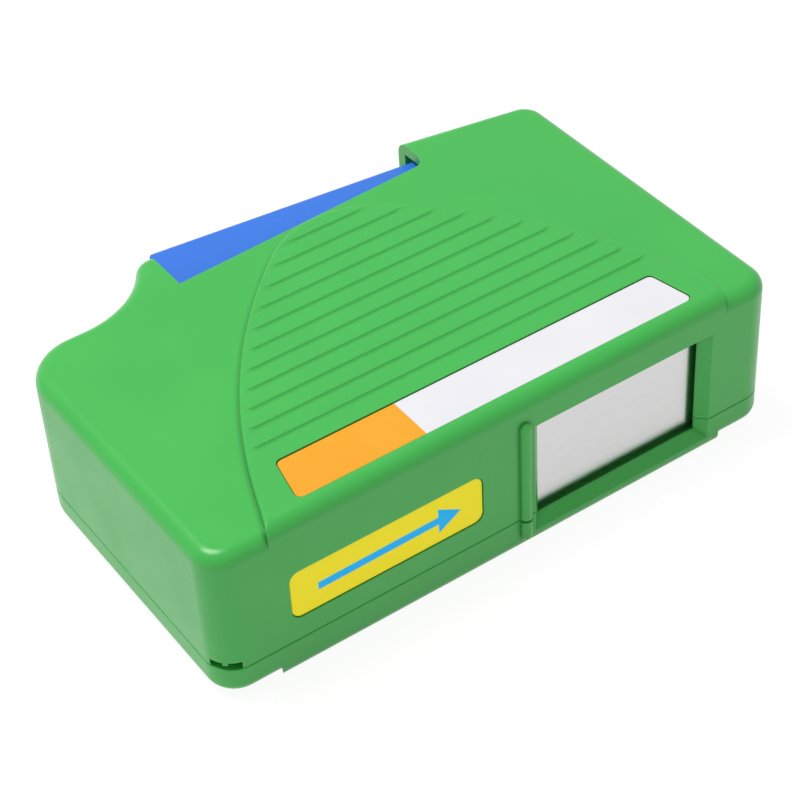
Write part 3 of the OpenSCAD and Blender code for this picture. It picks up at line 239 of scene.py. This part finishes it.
def screw_tree(finish):
    """A pan-head screw on every point: head down, cross recess, one thread that runs out at the tip."""
    rim_share, face_share = 0.55, 0.78
    slot_length, slot_width, slot_depth = 1.15, 0.24, 1.1
    core_share, thread_share, body_share = 0.76, 0.24, 0.85
    tree = bpy.data.node_groups.new("pan_head_screws", "GeometryNodeTree")
    face = tree.interface
    face.new_socket("Geometry", in_out="INPUT", socket_type="NodeSocketGeometry")
    for name in ("Head Radius", "Head Height", "Shank Radius", "Shank Length", "Thread Pitch"):
        face.new_socket(name, in_out="INPUT", socket_type="NodeSocketFloat")
    face.new_socket("Geometry", in_out="OUTPUT", socket_type="NodeSocketGeometry")

    def node(kind, inputs=None, **settings):
        made = tree.nodes.new(kind)
        for key, value in settings.items():
            setattr(made, key, value)
        for key, value in (inputs or {}).items():
            if isinstance(value, bpy.types.NodeSocket):
                tree.links.new(value, made.inputs[key])
            else:
                made.inputs[key].default_value = value
        return made

    def calc(kind, a, b=0.0):
        return node("ShaderNodeMath", {0: a, 1: b}, operation=kind).outputs[0]

    def raised(mesh, z):
        up = node("ShaderNodeCombineXYZ", {"Z": z}).outputs[0]
        return node("GeometryNodeTransform", {"Geometry": mesh, "Translation": up}).outputs[0]

    given = node("NodeGroupInput").outputs
    head_r, head_h, shank_r, length, pitch = (given[n] for n in (
        "Head Radius", "Head Height", "Shank Radius", "Shank Length", "Thread Pitch"))
    # Head: a straight rim under a domed face, with two crossed slots cut into the face
    rim_h = calc("MULTIPLY", head_h, rim_share)
    rim = node("GeometryNodeMeshCylinder", {"Vertices": 40, "Radius": head_r, "Depth": rim_h}).outputs[0]
    dome_h = calc("MULTIPLY", head_h, 1 - rim_share)
    face_r = calc("MULTIPLY", head_r, face_share)
    dome = node("GeometryNodeMeshCone", {"Vertices": 40, "Radius Top": head_r, "Radius Bottom": face_r,
                                         "Depth": dome_h}).outputs[0]
    rim_place = raised(rim, calc("MULTIPLY", rim_h, -0.5))
    head = node("GeometryNodeMeshBoolean", {"Mesh 2": rim_place}, operation="UNION")
    tree.links.new(raised(dome, calc("MULTIPLY", head_h, -1)), head.inputs["Mesh 2"])
    slots = []
    for long_side, short_side in (("X", "Y"), ("Y", "X")):
        size = node("ShaderNodeCombineXYZ", {long_side: calc("MULTIPLY", head_r, slot_length),
                                             short_side: calc("MULTIPLY", head_r, slot_width),
                                             "Z": calc("MULTIPLY", head_h, slot_depth)}).outputs[0]
        bar = node("GeometryNodeMeshCube", {"Size": size}).outputs[0]
        slots.append(raised(bar, calc("MULTIPLY", head_h, -1)))
    cross = node("GeometryNodeMeshBoolean", {"Mesh 1": head.outputs[0]}, operation="DIFFERENCE")
    for slot in slots:
        tree.links.new(slot, cross.inputs["Mesh 2"])
    # Shank: a core with a pointed tip, and one triangular thread wound round it
    core_r = calc("MULTIPLY", shank_r, core_share)
    body_h = calc("MULTIPLY", length, body_share)
    tip_h = calc("MULTIPLY", length, 1 - body_share)
    core = node("GeometryNodeMeshCylinder", {"Vertices": 24, "Radius": core_r, "Depth": body_h}).outputs[0]
    tip = node("GeometryNodeMeshCone", {"Vertices": 24, "Radius Bottom": core_r, "Radius Top": 0.0,
                                        "Depth": tip_h}).outputs[0]
    line = node("GeometryNodeCurveSpiral", {"Resolution": 24, "Rotations": calc("DIVIDE", body_h, pitch),
                                            "Start Radius": core_r, "End Radius": core_r,
                                            "Height": body_h}).outputs[0]
    ridge_r = calc("MULTIPLY", shank_r, thread_share)
    ridge = node("GeometryNodeCurvePrimitiveCircle", {"Resolution": 3, "Radius": ridge_r}).outputs[0]
    thread = node("GeometryNodeCurveToMesh", {"Curve": line, "Profile Curve": ridge, "Fill Caps": True})
    whole = node("GeometryNodeJoinGeometry")
    for part in (cross.outputs[0], raised(core, calc("MULTIPLY", body_h, 0.5)), raised(tip, body_h),
                 thread.outputs[0]):
        tree.links.new(part, whole.inputs[0])
    placed = node("GeometryNodeInstanceOnPoints", {"Points": given["Geometry"], "Instance": whole.outputs[0]})
    real = node("GeometryNodeRealizeInstances", {"Geometry": placed.outputs[0]})
    coated = node("GeometryNodeSetMaterial", {"Geometry": real.outputs[0], "Material": finish})
    out = tree.nodes.new("NodeGroupOutput")
    tree.links.new(coated.outputs[0], out.inputs[0])
    return tree


def screwed(name, node_name, places, sizes, tree):
    """Screws at the given places, baked to one mesh that stands for the CAD node."""
    mesh = bpy.data.meshes.new(name)
    mesh.from_pydata(places, [], [])
    piece = bpy.data.objects.new(name, mesh)
    bpy.context.scene.collection.objects.link(piece)
    maker = piece.modifiers.new("screws", "NODES")
    maker.node_group = tree
    for socket in tree.interface.items_tree:
        if socket.in_out == "INPUT" and socket.name in sizes:
            maker[socket.identifier] = sizes[socket.name]
    view = bpy.context.evaluated_depsgraph_get()
    baked = bpy.data.meshes.new_from_object(piece.evaluated_get(view))
    piece.modifiers.clear()
    piece.data = baked
    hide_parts(node_name)
    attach(piece, "casing")


zinc = steel("zinc_plating", (0.6, 0.61, 0.6, 1), (0.26, 0.4), (1, 1, 1), scale=500)
screws = screw_tree(zinc)
screwed("frame_screw_pair", "frame_screws", [(0.0174, -0.0283, 0.02995), (0.0368, -0.0283, 0.02995)],
        {"Head Radius": 0.0012, "Head Height": 0.0007, "Shank Radius": 0.0006, "Shank Length": 0.00325,
         "Thread Pitch": 0.0005}, screws)

# Guide rollers: turned acetal sleeves on steel pins, one at each end of the pad.
for name in ("left_roller", "right_roller"):
    smooth_copy(name, name + "_sleeve", acetal, name)

# Reels: thin-walled white mouldings with six holes in each flange, left in the plastic's own colour.
# A grey felt washer on the supply reel keeps the tape tight.
natural = moulded("natural_moulding", (0.76, 0.76, 0.735, 1), (0.82, 0.82, 0.795, 1),
                  gloss=(0.34, 0.44), grain=0.08, edge=0.0001)
smooth_copy("supply_reel", "supply_reel_moulding", natural, "supply")
smooth_copy("take_up_reel", "take_up_reel_moulding", natural, "take_up")


def felted(name, colour, shade):
    """Pressed felt: matted fibres that run every way."""
    made, tree, shader = material(name)
    fibres = noise(tree, 2200, 6, (1, 1, 0.4), 0.7)
    tree.links.new(blended(tree, spread(tree, fibres, 0, 1), colour, shade), shader.inputs["Base Color"])
    shader.inputs["Roughness"].default_value = 0.95
    shader.inputs["Sheen Weight"].default_value = 0.4
    bump = add(tree, "Bump", {"Strength": 0.6, "Distance": 0.0001, "Height": fibres})
    tree.links.new(bump.outputs["Normal"], shader.inputs["Normal"])
    return made


grey_felt = felted("grey_felt", (0.19, 0.19, 0.205, 1), (0.3, 0.3, 0.32, 1))
smooth_copy("supply_felt_washer", "supply_felt_ring", grey_felt, "casing")


# Tape: woven lint-free microfibre 0.25 mm thick, fresh on the supply roll, soiled on the take-up
# roll. The ends of both rolls show its layers as fine rings.
def woven(name, colour, shade, centre=None):
    """Fine weave; on a roll the layers show as rings round the given centre."""
    between_layers = [0.55 * c for c in shade[:3]] + [1]
    made, tree, shader = material(name)
    place = add(tree, "TexCoord").outputs["Object"]
    threads = [add(tree, "TexWave", {"Vector": place, "Scale": 900.0, "Distortion": 1.0}, bands_direction=way)
               .outputs["Fac"] for way in ("X", "Z")]
    weave = add(tree, "Math", {0: threads[0], 1: threads[1]}, operation="ADD").outputs[0]
    tone = blended(tree, spread(tree, noise(tree, 240, 4), 0, 1), colour, shade)
    if centre:
        middle = (-centre[0], -centre[1], 0)
        moved = add(tree, "Mapping", {"Vector": place, "Location": middle}).outputs["Vector"]
        rings = add(tree, "TexWave", {"Vector": moved, "Scale": 630.0, "Distortion": 0.4}, wave_type="RINGS",
                    rings_direction="Z").outputs["Fac"]
        weave = add(tree, "Math", {0: weave, 1: rings}, operation="ADD").outputs[0]
        tone = blended(tree, spread(tree, rings, 0, 0.3, 0.0, 1.0), tone, between_layers)
    tree.links.new(tone, shader.inputs["Base Color"])
    shader.inputs["Roughness"].default_value = 0.85
    shader.inputs["Sheen Weight"].default_value = 0.2
    bump = add(tree, "Bump", {"Strength": 0.3, "Distance": 0.00004, "Height": weave})
    tree.links.new(bump.outputs["Normal"], shader.inputs["Normal"])
    return made


clean, clean_shade = (0.78, 0.78, 0.75, 1), (0.84, 0.84, 0.82, 1)
soiled, soiled_shade = (0.56, 0.56, 0.53, 1), (0.7, 0.7, 0.67, 1)
fresh = woven("fresh_tape", clean, clean_shade, centre=(-0.0375, -0.0056))
used = woven("used_tape", soiled, soiled_shade, centre=(0.0352, -0.0036))
smooth_copy("fresh_tape_roll", "fresh_tape_winding", fresh, "supply")
smooth_copy("used_tape_roll", "used_tape_winding", used, "take_up")
smooth_copy("tape_run", "tape_run_strip", woven("running_tape", clean, clean_shade), "casing")

# Lever: a blue moulding with a smoother, glossier face than the shells, because thumbs press it.
# It turns on a steel pin at its right end.
lever_blue = moulded("lever_blue", (0.03, 0.19, 0.80, 1), (0.035, 0.21, 0.86, 1),
                     gloss=(0.24, 0.3), grain=0.06)
smooth_copy("lever", "lever_moulding", lever_blue, "press_lever")

# Lever spring: drawn spring wire, 0.7 mm thick, between a post of the upper shell and the lever's
# back. It shortens as the lever goes in; here it is only given a mesh of its own.
wire = steel("spring_wire", (0.4, 0.4, 0.41, 1), (0.22, 0.34), (6, 1, 1), scale=900)
lever_coil = smooth_copy("lever_spring", "lever_spring_coil", wire, "casing", sharp=60)
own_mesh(lever_coil)

# Case screws: four zinc-plated self-tapping screws with pan heads and cross recesses. They sit in
# counterbores of the lower shell and bite into posts of the upper one.
screwed("case_screw_set", "case_screws",
        [(-0.0556, -0.032, 0.0035), (0.0581, -0.0204, 0.0035), (0.05696, 0.0245, 0.0035),
         (-0.0554, 0.02, 0.0035)],
        {"Head Radius": 0.0024, "Head Height": 0.0014, "Shank Radius": 0.0012, "Shank Length": 0.012,
         "Thread Pitch": 0.0011}, screws)


# Arrow label: yellow vinyl stuck in a shallow recess of the front face, printed with a plain blue
# arrow that shows which way to wipe. The print carries painted light: it glows a little in its own
# colours, which brightens it in the front face's shade. The print is slightly out of square, as on the real
# one.
def printed_arrow():
    """Arrow that lies along X and points to the right: its shaft, then its head up to the tip."""
    shaft_x0, shaft_x1, tip_x, overlap = -0.0424, -0.0161, -0.0110, 0.0002
    shaft_low, shaft_high, head_low, head_high = 0.0180, 0.0198, 0.0158, 0.0218
    print_turn, painted_glow_share = math.radians(0.8), 0.23
    made, tree, shader = material("arrow_print")
    place = add(tree, "TexCoord").outputs["Object"]
    turned = add(tree, "Mapping", {"Vector": place, "Rotation": (0, print_turn, 0)}).outputs["Vector"]
    apart = add(tree, "SeparateXYZ", {"Vector": turned})
    x, z = apart.outputs["X"], apart.outputs["Z"]

    def calc(kind, a, b):
        return add(tree, "Math", {0: a, 1: b}, operation=kind).outputs[0]

    def between(value, lowest, highest):
        return calc("MULTIPLY", calc("GREATER_THAN", value, lowest), calc("LESS_THAN", value, highest))

    shaft = calc("MULTIPLY", between(x, shaft_x0, shaft_x1 + overlap), between(z, shaft_low, shaft_high))
    slope = (head_high - head_low) / 2 / (tip_x - shaft_x1)
    half_width = calc("MULTIPLY", calc("SUBTRACT", tip_x, x), slope)
    off = calc("ABSOLUTE", calc("SUBTRACT", z, (head_low + head_high) / 2), 0.0)
    head = calc("MULTIPLY", calc("LESS_THAN", off, half_width), between(x, shaft_x1, tip_x))
    mask = calc("MAXIMUM", shaft, head)
    ink = blended(tree, spread(tree, noise(tree, 900, 2), 0, 1), srgb(26, 182, 255), srgb(34, 190, 255))
    ground = blended(tree, spread(tree, noise(tree, 60, 3), 0, 1), srgb(255, 235, 30), srgb(255, 239, 42))
    print_colour = blended(tree, mask, ground, ink)
    tree.links.new(print_colour, shader.inputs["Base Color"])
    # Painted light: the print also glows in its own colour, brightening it in the shade of the front face.
    tree.links.new(print_colour, shader.inputs["Emission Color"])
    shader.inputs["Emission Strength"].default_value = painted_glow_share
    shader.inputs["Specular IOR Level"].default_value = 0.25
    tree.links.new(spread(tree, noise(tree, 300, 3), 0.42, 0.52), shader.inputs["Roughness"])
    return made


smooth_copy("arrow_label", "arrow_label_vinyl", printed_arrow(), "casing")


# Top label: white vinyl with an orange field at its left end, stuck in a recess of the raised panel.
# It is left without lettering.
def printed_fields():
    """Orange to the left of orange_end_x, white to its right."""
    orange_end_x = -0.01555
    made, tree, shader = material("field_print")
    place = add(tree, "TexCoord").outputs["Object"]
    apart = add(tree, "SeparateXYZ", {"Vector": place})
    right = add(tree, "Math", {0: apart.outputs["X"], 1: orange_end_x}, operation="GREATER_THAN").outputs[0]
    orange = blended(tree, spread(tree, noise(tree, 60, 3), 0, 1), srgb(255, 173, 22), srgb(255, 178, 30))
    white = blended(tree, spread(tree, noise(tree, 60, 3), 0, 1), srgb(243, 243, 249), srgb(248, 248, 252))
    tree.links.new(blended(tree, right, orange, white), shader.inputs["Base Color"])
    tree.links.new(spread(tree, noise(tree, 300, 3), 0.3, 0.42), shader.inputs["Roughness"])
    return made


smooth_copy("top_label", "top_label_vinyl", printed_fields(), "casing")

# Floor: a plain white table. The camera and reflections see most of it as evenly white, so that only
# the soft shadow shows.
reach = 6
floor_mesh = bpy.data.meshes.new("table")
floor_mesh.from_pydata([(-reach, -reach, 0), (reach, -reach, 0), (reach, reach, 0), (-reach, reach, 0)], [],
                       [(0, 1, 2, 3)])
floor = bpy.data.objects.new("table", floor_mesh)
bpy.context.scene.collection.objects.link(floor)
table_white, tree, shader = material("table_white")
shader.inputs["Roughness"].default_value = 0.9
shader.inputs["Base Color"].default_value = (0.86, 0.86, 0.86, 1)
seen = add(tree, "LightPath")
glow = add(tree, "Emission", {"Color": (1, 1, 1, 1), "Strength": 1.09})
direct = add(tree, "Math", {0: seen.outputs["Is Camera Ray"], 1: seen.outputs["Is Glossy Ray"]},
             operation="MAXIMUM")
share = add(tree, "Math", {0: direct.outputs[0], 1: 0.85}, operation="MULTIPLY")
mixed = add(tree, "MixShader", {0: share.outputs[0], 1: shader.outputs[0], 2: glow.outputs[0]})
tree.links.new(mixed.outputs[0], tree.nodes["Material Output"].inputs["Surface"])
floor_mesh.materials.append(table_white)

# Surround: white where the camera looks past the floor, dimmer as a light and in reflections.
world = bpy.data.worlds.new("surround")
bpy.context.scene.world = world
world.use_nodes = True
tree = world.node_tree
seen = add(tree, "LightPath")
gloss = add(tree, "Math", {0: seen.outputs["Is Glossy Ray"], 1: 0.5}, operation="MULTIPLY")
direct = add(tree, "Math", {0: seen.outputs["Is Camera Ray"], 1: gloss.outputs[0]}, operation="MAXIMUM")
level = add(tree, "MapRange", {"Value": direct.outputs[0], "To Min": 0.385, "To Max": 1.0})
tree.nodes["Background"].inputs["Color"].default_value = (1, 1, 1, 1)
tree.links.new(level.outputs[0], tree.nodes["Background"].inputs["Strength"])

# Lamp: one broad round lamp above, behind on the left, turned towards the cassette.
lamp_data = bpy.data.lights.new("key", "AREA")
lamp_data.shape = "DISK"
lamp_data.size = 0.45
lamp_data.energy = 5.3
lamp = bpy.data.objects.new("key", lamp_data)
lamp.location = (-0.2, 0.22, 0.87)
lamp.rotation_euler = (-lamp.location).to_track_quat("-Z", "Y").to_euler()
bpy.context.scene.collection.objects.link(lamp)
